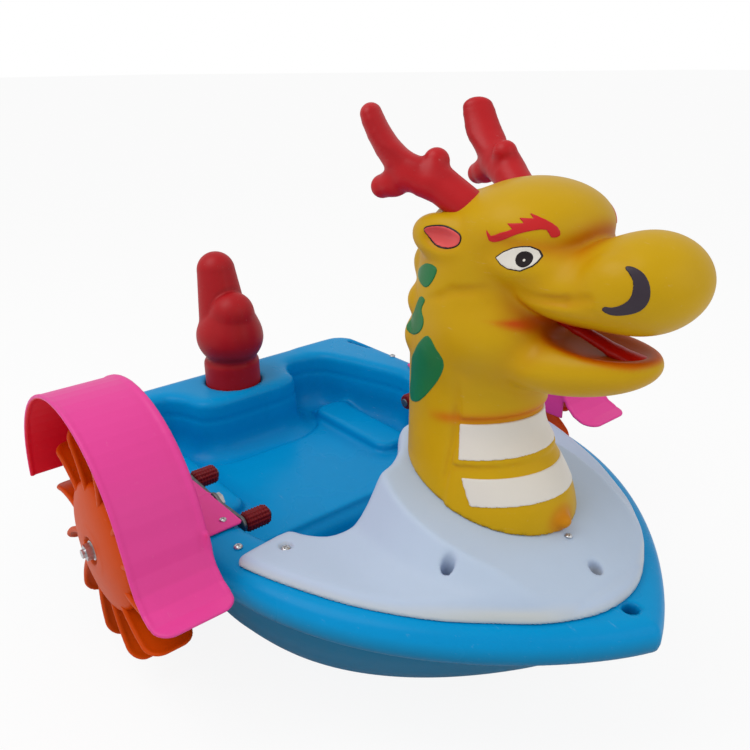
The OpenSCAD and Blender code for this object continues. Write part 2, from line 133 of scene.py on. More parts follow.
def rounded(points, steps):
    """A smooth closed line through the points."""
    out, n = [], len(points)
    for i in range(n):
        p0, p1, p2, p3 = (np.array(points[(i + k) % n], float) for k in (-1, 0, 1, 2))
        for s in range(steps):
            t = s / steps
            out.append(tuple(0.5 * (2 * p1 + (p2 - p0) * t + (2 * p0 - 5 * p1 + 4 * p2 - p3) * t * t
                                    + (3 * p1 - p0 - 3 * p2 + p3) * t ** 3)))
    return out


class Outline:
    """Distance to an outline in plan, the same to port and starboard, kept in a table for speed."""

    margin = 80.0

    def __init__(self, half, steps=4, step=4.0):
        whole = half + [(x, -y) for x, y in reversed(half) if abs(y) > 1e-6]
        line = rounded(whole, steps) if steps > 1 else whole
        self.step = step
        self.x0 = min(p[0] for p in line) - self.margin
        x1, y1 = (max(p[k] for p in line) + self.margin for k in (0, 1))
        x = self.x0 + step * np.arange(int((x1 - self.x0) / step) + 2)
        y = step * np.arange(int(y1 / step) + 2)
        self.table = flat_shape(x[:, None], y[None, :], line)

    def __call__(self, x, y):
        u = np.clip((x - self.x0) / self.step, 0, self.table.shape[0] - 1.001)
        v = np.clip(np.abs(y) / self.step, 0, self.table.shape[1] - 1.001)
        i, j = u.astype(int), v.astype(int)
        u, v = u - i, v - j
        t = self.table
        return (t[i, j] * (1 - u) * (1 - v) + t[i + 1, j] * u * (1 - v)
                + t[i, j + 1] * (1 - u) * v + t[i + 1, j + 1] * u * v)


class Profile:
    """A value that changes smoothly along a scale, from a few (place, value) pairs."""

    def __init__(self, pairs, soft, step=1.0):
        lo, hi = pairs[0][0] - 4 * soft, pairs[-1][0] + 4 * soft
        self.at = np.arange(lo, hi + step, step)
        plain = np.interp(self.at, [p[0] for p in pairs], [p[1] for p in pairs])
        reach = int(3 * soft / step)
        weights = np.exp(-0.5 * (np.arange(-reach, reach + 1) * step / soft) ** 2)
        padded = np.pad(plain, reach, mode="edge")
        self.values = np.convolve(padded, weights / weights.sum(), mode="valid")

    def __call__(self, at):
        return np.interp(at, self.at, self.values)


# ------------ from forms to meshes
def skin_of(form, lo, hi, cell):
    """Points and four-sided faces of the closed skin of a form, in a block of cells from lo to hi."""
    count = [max(int(math.ceil((hi[k] - lo[k]) / cell)) + 1, 4) for k in range(3)]
    axes = [lo[k] + cell * np.arange(count[k]) for k in range(3)]
    value = form(axes[0][:, None, None], axes[1][None, :, None], axes[2][None, None, :])
    value = np.array(np.broadcast_to(value, count), float)
    value[np.abs(value) < 1e-6] = 1e-6
    for k in range(3):
        ends = np.moveaxis(value, k, 0)
        ends[0], ends[-1] = np.maximum(ends[0], 1e-3), np.maximum(ends[-1], 1e-3)
    cells = [c - 1 for c in count]
    places, spots, quads = [], [], []
    for k in range(3):
        others = [m for m in range(3) if m != k]
        turned = np.moveaxis(value, k, 0)
        first, second = turned[:-1], turned[1:]
        found = np.argwhere((first < 0) != (second < 0))
        fa, fb = first[tuple(found.T)], second[tuple(found.T)]
        grid = np.empty_like(found)
        grid[:, k], grid[:, others[0]], grid[:, others[1]] = found[:, 0], found[:, 1], found[:, 2]
        spot = grid.astype(float)
        spot[:, k] += fa / (fa - fb)
        ring = []
        for da, db in ((-1, -1), (0, -1), (0, 0), (-1, 0)):
            c = grid.copy()
            c[:, others[0]] += da
            c[:, others[1]] += db
            flat = (c[:, 0] * cells[1] + c[:, 1]) * cells[2] + c[:, 2]
            ring.append(flat)
            places.append(flat)
            spots.append(spot)
        ring = np.stack(ring, 1)
        backwards = (fa > 0) != (k == 1)
        ring[backwards] = ring[backwards][:, ::-1]
        quads.append(ring)
    places, spots, quads = np.concatenate(places), np.concatenate(spots), np.concatenate(quads)
    used, index = np.unique(places, return_inverse=True)
    hits = np.bincount(index)
    points = np.stack([np.bincount(index, weights=spots[:, m]) / hits for m in range(3)], 1)
    points = np.array(lo) + cell * points
    faces = np.searchsorted(used, quads)
    return settle(form, points, cell), faces


def settle(form, points, cell):
    """Moves each point onto the true skin, by no more than part of a cell."""
    start = points.copy()
    for _ in range(3):
        value = form(*points.T)
        slope = slope_of(form, points, 0.3 * cell)
        step = (value / np.maximum((slope ** 2).sum(1), 0.05))[:, None] * slope
        points = np.clip(points - step, start - 0.6 * cell, start + 0.6 * cell)
    return points


def slope_of(form, points, reach):
    slope = np.empty_like(points)
    for k in range(3):
        ahead, behind = points.copy(), points.copy()
        ahead[:, k] += reach
        behind[:, k] -= reach
        slope[:, k] = (form(*ahead.T) - form(*behind.T)) / (2 * reach)
    return slope


def mesh_of(name, points, faces, **marks):
    """A smooth-shaded object from points in millimetres. Each mark is a value per point for its material."""
    mesh = bpy.data.meshes.new(name)
    mesh.vertices.add(len(points))
    mesh.vertices.foreach_set("co", (points * MM).astype(np.float32).ravel())
    mesh.loops.add(faces.size)
    mesh.loops.foreach_set("vertex_index", faces.astype(np.int32).ravel())
    mesh.polygons.add(len(faces))
    mesh.polygons.foreach_set("loop_start", np.arange(0, faces.size, faces.shape[1], dtype=np.int32))
    mesh.update(calc_edges=True)
    mesh.validate()
    for mark, values in marks.items():
        mesh.attributes.new(mark, "FLOAT", "POINT").data.foreach_set("value", values.astype(np.float32))
    mesh.shade_smooth()
    piece = bpy.data.objects.new(name, mesh)
    bpy.context.scene.collection.objects.link(piece)
    return piece


def solid(name, form, lo, hi, cell, material, node=None, crease=25.0, tint=None, twin=False,
          fixed=False):
    """A closed piece from a form. crease is how far off a fold casts painted shade on it; twin adds its
    mirror to port.
    """
    size = cell if fixed else cell * COARSE
    points, faces = skin_of(form, lo, hi, size)
    slope = slope_of(form, points, 0.5 * size)
    outward = slope / np.maximum(np.linalg.norm(slope, axis=1), 1e-6)[:, None]
    # Painted shade: the skin darkens where the form closes in around it, as in folds and recesses
    fold = np.clip(1 - form(*(points + crease * outward).T) / crease, 0, 1)
    marks = {"crease": fold}
    if tint is not None:
        marks["tint"] = np.clip(tint(points, outward), 0, 1)
    if twin:
        flipped = faces[:, ::-1] + len(points)
        points = np.concatenate([points, points * (1, -1, 1)])
        faces = np.concatenate([faces, flipped])
        marks = {m: np.concatenate([v, v]) for m, v in marks.items()}
    piece = mesh_of(name, points, faces, **marks)
    return finish(piece, material, "boat", node)


def finish(piece, material, body, node=None):
    piece.data.materials.clear()
    piece.data.materials.append(material)
    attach(piece, body)
    if node:
        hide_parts(node)
    return piece


# ------------ finishes
class Nodes:
    """Short words for building a node tree."""

    def __init__(self, tree):
        self.tree = tree

    def add(self, kind, values=None, **settings):
        node = self.tree.nodes.new(kind)
        for key, value in settings.items():
            setattr(node, key, value)
        for socket, value in (values or {}).items():
            self.put(node.inputs[socket], value)
        return node

    def put(self, socket, value):
        if isinstance(value, bpy.types.NodeSocket):
            self.tree.links.new(value, socket)
        else:
            socket.default_value = value

    def maths(self, kind, *values, clamp=False):
        node = self.add("ShaderNodeMath", dict(enumerate(values)), operation=kind)
        node.use_clamp = clamp
        return node.outputs[0]

    def mix(self, share, a, b):
        node = self.add("ShaderNodeMix", data_type="RGBA")
        for socket, value in zip((node.inputs[0], node.inputs[6], node.inputs[7]), (share, a, b)):
            self.put(socket, value)
        return node.outputs[2]

    def noise(self, where, scale, detail=2.0, rough=0.5):
        values = {"Vector": where, "Scale": scale, "Detail": detail, "Roughness": rough}
        return self.add("ShaderNodeTexNoise", values).outputs["Fac"]

    def ramp(self, value, low, high):
        return self.add("ShaderNodeMapRange", {"Value": value, "From Min": low, "From Max": high}).outputs[0]


def linear(srgb):
    """A colour given as 0-255 values on screen, as the shader wants it."""
    return tuple((c / 255 / 12.92 if c <= 10 else ((c / 255 + 0.055) / 1.055) ** 2.4) for c in srgb) + (1.0,)


def new_tree(name, kind, inputs, outputs):
    """A node tree with its sockets: inputs as (label, kind, value), outputs as (label, kind)."""
    tree = bpy.data.node_groups.new(name, kind)
    for label, sort, value in inputs:
        socket = tree.interface.new_socket(label, in_out="INPUT", socket_type="NodeSocket" + sort)
        if value is not None:
            socket.default_value = value
    for label, sort in outputs:
        tree.interface.new_socket(label, in_out="OUTPUT", socket_type="NodeSocket" + sort)
    n = Nodes(tree)
    return tree, n, n.add("NodeGroupInput").outputs, n.add("NodeGroupOutput").inputs


def moulded_skin_group():
    """Blow-moulded plastic: faint mottle, orange-peel skin, flow streaks, scuffs, dull patches and painted
    shade in folds.
    """
    tree, n, given, out = new_tree("moulded_skin", "ShaderNodeTree", [
        ("Colour", "Color", (0.5, 0.5, 0.5, 1)), ("Fold Colour", "Color", (0.3, 0.3, 0.3, 1)),
        ("Fold", "Float", 0.0), ("Mottle", "Float", 0.08), ("Peel Size", "Float", 260.0),
        ("Peel Depth", "Float", 0.1), ("Scuffs", "Float", 0.3), ("Roughness", "Float", 0.35)],
        [("Colour", "Color"), ("Roughness", "Float"), ("Normal", "Vector")])
    where = n.add("ShaderNodeTexCoord").outputs["Object"]
    broad = n.noise(where, 5.0, 3.0)
    fine = n.noise(where, 42.0, 4.0, 0.6)
    # Long scuffs, stretched fore and aft
    drawn = n.add("ShaderNodeMapping", {"Vector": where, "Scale": (6.0, 40.0, 46.0),
                                        "Rotation": (0.2, 0.3, 0.5)})
    streak = n.noise(drawn.outputs[0], 3.0, 5.0, 0.7)
    scuff = n.maths("MULTIPLY", n.ramp(streak, 0.64, 0.76), given["Scuffs"], clamp=True)
    # Colour: folds take the second colour as painted shade, the rest wanders a little lighter and darker
    fold_shade = n.mix(given["Fold"], given["Colour"], given["Fold Colour"])
    both = n.maths("ADD", broad, n.maths("MULTIPLY", fine, 0.4))
    wander = n.maths("MULTIPLY", n.maths("SUBTRACT", both, 0.7), given["Mottle"])
    light = n.maths("ADD", 1.0, n.maths("MULTIPLY", wander, 2.0))
    varied = n.add("ShaderNodeVectorMath", {0: fold_shade, 1: n.add("ShaderNodeCombineXYZ", {
        0: light, 1: light, 2: light}).outputs[0]}, operation="MULTIPLY").outputs[0]
    n.put(out["Colour"], n.mix(n.maths("MULTIPLY", scuff, 0.35), varied, (0.8, 0.8, 0.8, 1)))
    dull = n.maths("MULTIPLY", n.ramp(broad, 0.4, 0.7), 0.1)
    n.put(out["Roughness"], n.maths("ADD", n.maths("ADD", given["Roughness"], dull),
                                    n.maths("MULTIPLY", scuff, 0.25), clamp=True))
    peel = n.noise(where, given["Peel Size"], 2.0)
    height = n.maths("ADD", n.maths("MULTIPLY", peel, 0.5), n.maths("MULTIPLY", fine, 1.2))
    bump = n.add("ShaderNodeBump", {"Height": height, "Strength": given["Peel Depth"], "Distance": 0.0012})
    n.put(out["Normal"], bump.outputs[0])
    return tree


def worn_metal_group():
    """Turned or plated metal: fine tool lines, cloudy zinc and a little tarnish."""
    tree, n, given, out = new_tree("worn_metal", "ShaderNodeTree", [
        ("Colour", "Color", (0.6, 0.6, 0.6, 1)), ("Tarnish Colour", "Color", (0.3, 0.26, 0.2, 1)),
        ("Tarnish", "Float", 0.3), ("Line Size", "Float", 900.0), ("Roughness", "Float", 0.3)],
        [("Colour", "Color"), ("Roughness", "Float"), ("Normal", "Vector")])
    where = n.add("ShaderNodeTexCoord").outputs["Object"]
    cloud = n.noise(where, 60.0, 4.0, 0.6)
    stretched = n.add("ShaderNodeMapping", {"Vector": where, "Scale": (0.15, 1.0, 0.15)})
    lines = n.noise(stretched.outputs[0], given["Line Size"], 2.0)
    n.put(out["Colour"], n.mix(n.maths("MULTIPLY", n.ramp(cloud, 0.45, 0.75), given["Tarnish"]),
                               given["Colour"], given["Tarnish Colour"]))
    n.put(out["Roughness"], n.maths("ADD", given["Roughness"], n.maths("MULTIPLY", cloud, 0.25), clamp=True))
    bump = n.add("ShaderNodeBump", {"Height": lines, "Strength": 0.25, "Distance": 0.0004})
    n.put(out["Normal"], bump.outputs[0])
    return tree


MOULDED_SKIN = moulded_skin_group()
WORN_METAL = worn_metal_group()


def new_material(name):
    material = bpy.data.materials.new(name)
    material.use_nodes = True
    n = Nodes(material.node_tree)
    shader = material.node_tree.nodes["Principled BSDF"]
    return material, n, shader


def wear(n, shader, tree, values):
    """Gives a material one of the surfaces above."""
    group = n.add("ShaderNodeGroup", values, node_tree=tree)
    for socket, made in (("Base Color", "Colour"), ("Roughness", "Roughness"), ("Normal", "Normal")):
        n.put(shader.inputs[socket], group.outputs[made])


def plastic(name, colour, fold, rough, fold_shade_gain, mottle=0.08, depth=0.12, scuffs=0.3, tints=None,
            gloss=0.24):
    """Moulded plastic. fold is the colour of the painted shade in folds, tints the colour where the piece has
    a tint mark.
    """
    material, n, shader = new_material(name)
    crease = n.add("ShaderNodeAttribute", attribute_name="crease").outputs["Fac"]
    base = linear(colour)
    if tints is not None:
        tint = n.add("ShaderNodeAttribute", attribute_name="tint").outputs["Fac"]
        base = n.mix(tint, base, linear(tints))
    # Painted shade in folds
    fold_shade = n.maths("MULTIPLY", crease, fold_shade_gain, clamp=True)
    wear(n, shader, MOULDED_SKIN, {"Colour": base, "Fold Colour": linear(fold), "Fold": fold_shade,
                                   "Mottle": mottle, "Peel Depth": depth, "Scuffs": scuffs,
                                   "Roughness": rough})
    shader.inputs["IOR"].default_value = 1.5
    shader.inputs["Specular IOR Level"].default_value = gloss
    return material


def metal(name, colour, tarnish_colour, rough, tarnish=0.3):
    """Bare or plated metal, tarnished in patches."""
    material, n, shader = new_material(name)
    wear(n, shader, WORN_METAL, {"Colour": linear(colour), "Tarnish Colour": linear(tarnish_colour),
                                 "Tarnish": tarnish, "Roughness": rough})
    shader.inputs["Metallic"].default_value = 1.0
    return material


# The second colour of each plastic is the painted shade in its folds; the hull's tint colour is painted shade
# on its skirt.
hull_blue = plastic("hull_blue_plastic", (0, 149, 211), (0, 104, 172), 0.26, 0.5,
                    tints=(4, 98, 132), gloss=0.1)
cover_white = plastic("cover_white_plastic", (184, 201, 223), (165, 180, 212), 0.42, 0.4, 0.04,
                      depth=0.08, tints=(232, 226, 205), scuffs=0.1)
# The tint colour is orange in the mouth and round the nub, and painted shade below the brow and under the
# jaw.
dragon_yellow = plastic("dragon_yellow_paint", (200, 158, 8), (180, 92, 0), 0.36, 0.95, 0.08,
                        tints=(206, 66, 2), gloss=0.15)
horn_red = plastic("antler_red_plastic", (186, 20, 28), (118, 6, 18), 0.38, 0.8, 0.12)
tail_red = plastic("tail_red_plastic", (174, 18, 26), (108, 6, 16), 0.4, 0.9, 0.14)
# The tint is painted shade under the arch and on the web facing the wheel.
fender_pink = plastic("fender_pink_plastic", (228, 66, 152), (198, 34, 110), 0.4, 0.5, 0.05,
                      tints=(232, 20, 46), scuffs=0.15)
paddle_orange = plastic("paddle_orange_plastic", (206, 72, 0), (165, 36, 2), 0.38, 0.8, 0.12, gloss=0.1)
grip_red = plastic("grip_red_plastic", (120, 8, 18), (50, 2, 8), 0.4, 1.0, 0.1, depth=0.2)
nylon = plastic("bearing_nylon", (214, 211, 200), (150, 146, 135), 0.45, 1.0, 0.05)
black_rubber = plastic("black_rubber", (28, 28, 30), (14, 14, 15), 0.6, 1.0, 0.2, depth=0.3)
steel = metal("plated_steel", (205, 207, 210), (120, 112, 100), 0.22)
crank_metal = metal("crank_steel", (120, 122, 126), (70, 62, 54), 0.38, 0.5)
band_white = plastic("belly_band_film", (222, 217, 208), (190, 182, 165), 0.35, 0.5, 0.05, depth=0.05)
mane_green = plastic("mane_green_paint", (24, 118, 62), (12, 84, 44), 0.32, 0.6, 0.14)
eye_white = plastic("eye_white_paint", (228, 224, 214), (200, 196, 186), 0.3, 0.4, 0.03, depth=0.04)
eye_black = plastic("eye_black_paint", (30, 22, 24), (18, 12, 14), 0.3, 0.4, 0.15, depth=0.04)
brow_red = plastic("brow_red_paint", (198, 30, 34), (160, 18, 26), 0.32, 0.5, 0.16)
ear_pink = plastic("ear_pink_paint", (222, 84, 84), (176, 40, 48), 0.32, 0.9, 0.2)
tongue_red = plastic("tongue_red_paint", (182, 18, 6), (130, 8, 4), 0.32, 0.6, 0.12)
nostril_grey = plastic("nostril_dark_paint", (58, 48, 58), (30, 24, 32), 0.3, 0.5, 0.3)


# ------------ hull
def bow_line(mid, tip, half_w, bend, fullness):
    """Half of a bow outline, from the tip back to the full half width at mid."""
    steps = 14
    out = []
    for i in range(steps):
        s = math.sin(math.radians(90 - 90 * i / steps))
        out.append((mid + (tip - mid) * s, half_w * max(0.0, 1 - s ** bend) ** fullness))
    return out


BOW_X, STERN_X, HALF_W, CORNER_R = 660, -660, 436, 70
CORNER = [(STERN_X + CORNER_R * (1 + math.cos(a)), HALF_W - CORNER_R * (1 - math.sin(a)))
          for a in map(math.radians, (90, 112, 135, 158, 180))]
DECK = Outline(bow_line(-50, BOW_X, HALF_W, 2.5, 0.85) + [(-190, HALF_W), (-380, HALF_W)] + CORNER
               + [(STERN_X, 290), (STERN_X, 160), (STERN_X, 0)])
COCKPIT = Outline(bow_line(-20, 345, 330, 2.3, 0.62) + [
    (-200, 330), (-300, 356), (-410, 330), (-500, 300), (-545, 280), (-566, 255), (-577, 228), (-579, 200),
    (-570, 176), (-535, 152), (-485, 134), (-463, 95), (-460, 45), (-460, 0)])
FOOTWELL = Outline([(290, 0), (290, 130), (150, 225), (-50, 225), (-50, 0)], steps=1)
COVER = Outline([(594, 0), (590, 40), (574, 85), (542, 137), (500, 184), (450, 236), (395, 280), (330, 321),
                 (262, 353), (200, 378), (150, 394), (136, 395), (128, 386), (122, 340), (120, 288),
                 (146, 272), (172, 254), (192, 236), (206, 212), (209, 186), (203, 150), (195, 119),
                 (172, 82), (140, 52), (118, 26), (112, 0)], steps=2, step=3.0)
# Height, then the reach ahead, astern and abeam as shares of the deck outline
LOWER_HULL = [(0, 0.52, 0.90, 0.60), (12, 0.56, 0.93, 0.66), (45, 0.66, 0.955, 0.755),
              (100, 0.755, 0.97, 0.85), (160, 0.82, 0.98, 0.92), (222, 0.87, 0.985, 0.958)]
AHEAD, BEHIND, WIDE = (Profile([(r[0], r[k]) for r in LOWER_HULL], 12) for k in (1, 2, 3))
TAIL_X, TAIL_SOCKET_R = -560, 71
AXLE_X, AXLE_Z = -88, 262
TOW_HOLE_X, TOW_HOLE_R = 607, 12.5


def hull_form(x, y, z):
    side = np.abs(y)
    wide = WIDE(z)
    body = DECK(x / np.where(x > 0, AHEAD(z), BEHIND(z)), side / wide) * wide
    body = keep(keep(body, -z, 20), z - 232, 4)
    edge = DECK(x, side)
    band = keep(keep(edge, z - DECK_Z, 34), 222 - z, 24)
    form = join(body, band, 8)
    lip = np.clip((z - 262) / 18, 0, 1)
    pit = COCKPIT(x, side) - 7 * lip * lip + (DECK_Z - z) * 0.07
    # The wall meets the floor in a wide curve, tighter where the cranks swing past
    pit = keep(pit, 130 - z, 56 - 42 * np.clip((190 - np.abs(x - AXLE_X)) / 50, 0, 1))
    well = keep(FOOTWELL(x, side) + (131 - z) * 0.5, 65 - z, 26)
    pit = join(pit, well, 20)
    # Arm ledges beside the seat
    ledge = np.maximum(np.abs(x + 335) - 115, 0) ** 2 + np.maximum(np.abs(side - 238) - 12, 0) ** 2
    pit = cut(pit, keep(np.sqrt(ledge) - 36, z - 164, 16), 26)
    # Low pad where the rider sits
    pad = keep(COCKPIT(x, side) + 62 + 0 * z, x + 66, 40)
    pit = cut(pit, keep(pad, z - 141, 10), 8)
    form = cut(form, pit, 16)
    # Socket of the tail, and the tow hole
    form = cut(form, keep(np.hypot(x - TAIL_X, side) - TAIL_SOCKET_R, 190 - z, 4), 7)
    form = cut(form, np.hypot(x - TOW_HOLE_X, side) - TOW_HOLE_R + 0 * z, 6)
    # Open channel for the axle across each side deck
    channel = np.maximum(np.maximum(np.abs(x - AXLE_X) - 22, 242 - z), np.maximum(290 - side, side - 446))
    form = cut(form, channel, 3)
    # Recessed groove in each stern corner of the deck
    across = side - 402 - (x + 580) * math.tan(math.radians(8))
    groove = np.hypot(np.maximum(np.abs(x + 542) - 38, 0), across) - 7
    return cut(form, keep(groove, DECK_Z - 18 - z, 4), 6)


def hull_skirt_shade(p, n):
    """Painted shade: the skirt below the rim is darker than the deck and the seat well."""
    outside = np.clip(COCKPIT(p[:, 0], np.abs(p[:, 1])) / 12, 0, 1)
    return 0.9 * outside * np.clip((264 - p[:, 2]) / 34, 0, 1)


solid("hull_shell", hull_form, (-670, -445, -8), (670, 445, 290), 7.0, hull_blue, node="hull",
      crease=45, tint=hull_skirt_shade)

# ------------ bow cover
CROWN = Profile([(0, 410), (198, 410), (216, 400), (245, 362), (285, 320), (335, 303), (360, 300),
                 (560, 300)], 9)
COVER_SCREWS = [(163, 320), (163, -320), (411, 192), (411, -192), (540, 0)]
NECK_SCREW_X = 487


def crown_fall(x):
    """The crown of the cover falls towards the bow: gently under the neck, then faster."""
    return join(392 - 0.19 * (x - 250), 347 - 0.58 * (x - NECK_SCREW_X), 14)


def cover_form(x, y, z):
    reach = np.hypot((x - 310) / 0.98, y / 0.8)
    top = (z - np.maximum(join(CROWN(reach), crown_fall(x) + 0 * y, 8), 300)) * 0.85
    form = keep(keep(COVER(x, y), top, 22), DECK_Z + 0.4 - z, 3)
    for sx, sy in COVER_SCREWS:
        if sy >= 0:
            form = cut(form, keep(np.hypot(x - sx, np.abs(y) - sy) - 10.5, DECK_Z + 12 - z, 5), 6)
    return cut(form, keep(np.hypot(x - NECK_SCREW_X, y) - 7.5, 343 - z, 2), 3)


def cover_tint(p, n):
    """Cream on the low rim, where it faces sideways."""
    return 0.6 * np.clip(1.1 - 1.4 * n[:, 2], 0, 1) * np.clip((312 - p[:, 2]) / 12, 0, 1)


solid("bow_cover_moulding", cover_form, (100, -402, 276), (602, 402, 418), 4.5, cover_white, node="bow_cover",
      crease=22, tint=cover_tint)

# ------------ dragon head
# Height, then the centre, half length and half width of the neck and skull
NECK = [(340, 320, 154, 134), (380, 312, 158, 122), (410, 305, 152, 116), (430, 298, 146, 112),
        (490, 276, 126, 100), (560, 276, 124, 102), (620, 298, 140, 116), (680, 304, 136, 118),
        (740, 308, 130, 114), (800, 325, 136, 116), (850, 342, 116, 96), (882, 374, 74, 58),
        (920, 380, 50, 40)]
NECK_X, NECK_LONG, NECK_WIDE = (Profile([(r[0], r[k]) for r in NECK], 14) for k in (1, 2, 3))
# How far the belly plates and the throat stand out, up the neck
BELLY = Profile([(340, 4), (380, 5), (444, 1.5), (449, 0), (454, 6), (516, 0), (524, -2.5),
                 (530, 5), (570, 4), (610, 0)], 1.8, 0.5)


def neck_tilt(x, z):
    """Height up the neck along the tilt of the belly plates."""
    return z - 0.17 * (x - 371)


def head_form(x, y, z):
    s = np.abs(y)
    cx, a, b = NECK_X(z), NECK_LONG(z), NECK_WIDE(z)
    front = np.clip((x - 322) / 16, 0, 1)
    plates = BELLY(neck_tilt(x, z)) * front * front * (3 - 2 * front)
    groove = 3 * np.exp(-((x - 320) / 7) ** 2) * np.clip((z - 400) / 20, 0, 1) * np.clip((545 - z) / 20, 0, 1)
    swell = plates - 2.5 - groove
    p, q = (x - cx) / a, s / b
    near = np.sqrt(p * p + q * q)
    steep = np.sqrt((p / a) ** 2 + (q / b) ** 2)
    form = near * (near - 1) / np.maximum(steep, 1e-9) - swell
    form = keep(form, z - 868, 60)
    # Brow dome, overhanging the snout
    form = join(form, ellipsoid(x, s, z, (384, 0, 823), (103, 110, 64)), 18)
    # Snout, nose ball and nostril wings
    snout = ellipsoid(x, s, z, (476, 0, 754), (124, 90, 59))
    snout = join(snout, ellipsoid(x, s, z, (568, 0, 774), (75, 84, 65)), 34)
    snout = join(snout, ellipsoid(x, s, z, (552, 62, 772), (40, 27, 40)), 12)
    snout = join(snout, ellipsoid(x, s, z, (480, 30, 740), (108, 58, 26)), 10)
    form = join(form, snout, 12)
    form = join(form, ellipsoid(x, s, z, (410, 44, 780), (76, 60, 38)), 16)
    # Lower jaw, hollowed for the mouth
    u, w = (x - 450) * 0.985 + (z - 634) * 0.174, (z - 634) * 0.985 - (x - 450) * 0.174
    jaw = ellipsoid(u, s, w, (0, 0, 0), (148, 86, 50))
    jaw = cut(jaw, ellipsoid(x, s, z, (505, 0, 690), (92, 70, 31)), 12)
    form = join(form, jaw, 14)
    # Cheek behind the mouth corner
    form = join(form, ellipsoid(x, s, z, (350, 56, 662), (84, 62, 58)), 26)
    form = cut(form, ellipsoid(x, s, z, (512, 98, 699), (104, 36, 15)), 10)
    # Eye hollow under the brow, and the fold above the lip
    form = cut(form, ellipsoid(x, s, z, (450, 122, 812), (64, 22, 12)), 10)
    fold = branch(x, s, z, [(262, 116, 703), (300, 118, 716), (324, 116, 729), (373, 104, 738),
                            (437, 92, 740), (503, 88, 750), (538, 92, 760)], [3, 4, 5, 5, 5, 4, 3], 5)
    form = cut(form, fold, 10)
    # Ear, a cup on the side of the skull
    form = join(form, ellipsoid(x, s, z, (284, 94, 798), (60, 24, 36)), 10)
    form = cut(form, ellipsoid(x, s, z, (300, 120, 802), (38, 14, 16)), 7)
    # Mane knobs down the nape
    for at, r in (((208, 50, 742), 22), ((196, 0, 752), 24), ((204, 34, 700), 22), ((212, 72, 684), 18),
                  ((196, 0, 640), 22), ((205, 66, 622), 22), ((172, 26, 575), 18)):
        form = join(form, ellipsoid(x, s, z, at, (r, r, 1.3 * r)), 12)
    # Nub at the foot, ahead of the last belly plate
    form = join(form, ellipsoid(x, s, z, (474, 0, 366), (13, 13, 11)), 12)
    return keep(form, crown_fall(x) + 0.8 - z, 3)


LOWER_LIP = [(385, 696), (440, 681), (490, 672), (526, 667), (580, 664), (620, 672)]
UPPER_LIP = [(385, 697), (440, 708), (487, 715), (510, 706), (540, 688), (620, 676)]


def head_orange_and_shade(p, n):
    """Orange inside the mouth and round the nub at the foot; painted shade below the brow, and painted shadow
    under the jaw along the throat.
    """
    x, s, z = p[:, 0], np.abs(p[:, 1]), p[:, 2]
    low, high = (np.interp(x, [q[0] for q in lip], [q[1] for q in lip]) for lip in (LOWER_LIP, UPPER_LIP))
    mouth = np.clip(np.minimum(z - low, high - z) / 9 + 0.3, 0, 1) * np.clip((x - 372) / 40, 0, 1)
    hollow = ellipsoid(x, s, z, (505, 0, 686), (94, 72, 42))
    mouth = np.maximum(mouth, np.clip(-hollow / 5, 0, 1) * (z < 700))
    # Painted shadow under the jaw along the throat, and painted shade below the brow
    throat = 0.55 * np.exp(-((neck_tilt(x, z) - 526) / 9) ** 2) * np.clip((x - 260) / 40, 0, 1)
    brow_shade = 0.3 * np.exp(-((z - 812 + 0.1 * (x - 440)) / 9) ** 2 - ((x - 450) / 55) ** 2)
    foot = 0.4 * np.exp(-(ellipsoid(x, s, z, (474, 0, 366), (12, 14, 12)) / 14) ** 2)
    return mouth + throat + brow_shade + foot


solid("dragon_head_moulding", head_form, (138, -150, 334), (650, 150, 900), 4.2, dragon_yellow,
      node="dragon_head", crease=34, tint=head_orange_and_shade)


def painted(name, shape, lo, hi, cell, material, stand, twin=True):
    """A patch lying on the skin of the head, where shape is negative."""
    def shell(x, y, z):
        skin = head_form(x, y, z)
        return keep(keep(skin - stand, -skin - 3, 0.8), shape(x, y, z), 0.8)
    return solid(name, shell, lo, hi, cell, material, crease=5, twin=twin, fixed=True)


def side_patch(name, outline, material, y_range, grow, stand, cell, steps=1):
    """A patch with an outline given along X and up Z, on both cheeks."""
    line = rounded(outline, steps) if steps > 1 else outline
    lo = (min(p[0] for p in line) - 5, y_range[0], min(p[1] for p in line) - 5)
    hi = (max(p[0] for p in line) + 5, y_range[1], max(p[1] for p in line) + 5)
    return painted(name, lambda x, y, z: flat_shape(x, z, line) - grow + 0 * y, lo, hi, cell, material, stand)


EYE = [(397, 791), (408, 800), (421, 807), (432, 810), (442, 811), (451, 807), (456, 800), (454, 793),
       (450, 788), (436, 780), (417, 780), (405, 784)]
side_patch("eye_outline", EYE, eye_black, (-112, -66), 1.5, 0.6, 1.3)
side_patch("eye_white", EYE, eye_white, (-112, -66), 0, 1.0, 1.3)
painted("pupil", lambda x, y, z: np.hypot(x - 438, (z - 795) * 1.05) - 11 + 0 * y, (424, -104, 781),
        (452, -80, 809), 1.1, eye_black, 1.4)
painted("glint", lambda x, y, z: np.hypot(x - 439, z - 794) - 1.8 + 0 * y, (434, -99, 789), (444, -86, 799),
        0.6, eye_white, 1.7)
side_patch("brow", [(382, 828), (387, 813), (398, 813), (410, 818), (427, 827), (444, 833), (456, 834),
                    (462, 824), (468, 827), (464, 837), (451, 846), (432, 853), (439, 847), (423, 847),
                    (431, 841), (411, 839), (420, 833), (404, 826), (390, 820)], brow_red, (-118, -56), 0.2,
           0.9, 1.2, 2)
EAR = [(266, 811), (284, 818), (305, 820), (324, 816), (335, 810), (332, 799), (315, 791), (293, 790),
       (276, 797)]
side_patch("ear_outline", EAR, eye_black, (-125, -100), 1.5, 0.6, 1.4, 4)
side_patch("ear_pink", EAR, ear_pink, (-125, -100), -0.4, 1.1, 1.4, 4)
